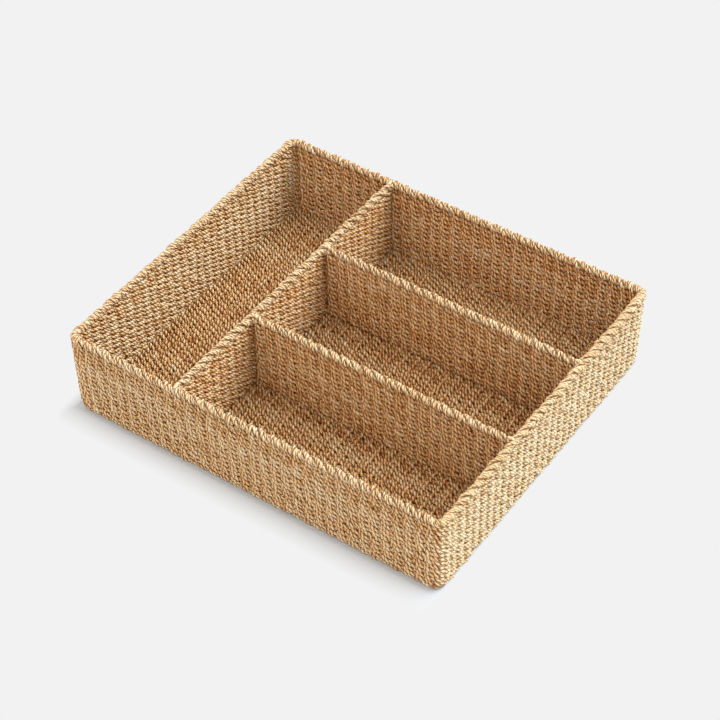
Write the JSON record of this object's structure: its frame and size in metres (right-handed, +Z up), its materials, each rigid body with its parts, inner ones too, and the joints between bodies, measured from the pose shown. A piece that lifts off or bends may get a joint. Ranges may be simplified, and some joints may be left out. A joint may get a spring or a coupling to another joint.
{
  "type": "flatware tray",
  "caption": "Open rectangular tray of twined natural cord over a wire frame, with one long bay beside a row of short bays divided by woven panels.",
  "frame": {"origin": "middle of the underside, on the surface that the tray stands on", "axes": "+Z up; +X along the front wall towards the side with the short bays; +Y from the front wall to the back wall, along the long bay"},
  "size_m": [0.356, 0.306, 0.08],
  "materials": {
    "weave": "twined straw-coloured plant-fibre cord, matt, with darker gaps between the strands",
    "shaded_weave": "the same cord on the floor and dividers, a deeper honey colour",
    "stake": "twisted plant-fibre cord, matt",
    "border": "pale cord wrapped in slanted turns over the top wire, matt",
    "binding": "pale cord wound over the joints of the top wires, matt",
    "wire": "drawn steel wire with a thin brown lacquer, matt"
  },
  "bodies": {
    "root": {"back_divider_border": "border", "back_divider_foot_wire": "wire", "back_divider_inner_binding": "binding", "back_divider_stakes": "stake", "back_divider_top_rail": "wire", "back_divider_wall_binding": "binding", "back_divider_weave": "shaded_weave", "back_rim_border_back_bay": "border", "back_rim_border_long_bay": "border", "back_wall_stakes": "stake", "back_wall_weave": "weave", "base_wire": "wire", "corner_post_back_left": "wire", "corner_post_back_right": "wire", "corner_post_front_left": "wire", "corner_post_front_right": "wire", "corner_weave_back_left": "weave", "corner_weave_back_right": "weave", "corner_weave_front_left": "weave", "corner_weave_front_right": "weave", "floor_warps": "stake", "floor_weave": "shaded_weave", "front_divider_border": "border", "front_divider_foot_wire": "wire", "front_divider_inner_binding": "binding", "front_divider_stakes": "stake", "front_divider_top_rail": "wire", "front_divider_wall_binding": "binding", "front_divider_weave": "shaded_weave", "front_rim_border_front_bay": "border", "front_rim_border_long_bay": "border", "front_wall_stakes": "stake", "front_wall_weave": "weave", "left_rim_border_long_bay": "border", "left_wall_stakes": "stake", "left_wall_weave": "weave", "long_divider_back_binding": "binding", "long_divider_border_back_bay": "border", "long_divider_border_front_bay": "border", "long_divider_border_middle_bay": "border", "long_divider_foot_wire": "wire", "long_divider_front_binding": "binding", "long_divider_stakes": "stake", "long_divider_top_rail": "wire", "long_divider_weave": "shaded_weave", "right_rim_border_back_bay": "border", "right_rim_border_front_bay": "border", "right_rim_border_middle_bay": "border", "right_wall_stakes": "stake", "right_wall_weave": "weave", "rim_border_back_left": "border", "rim_border_back_right": "border", "rim_border_front_left": "border", "rim_border_front_right": "border", "rim_wire": "wire"}
  },
  "joints": []
}
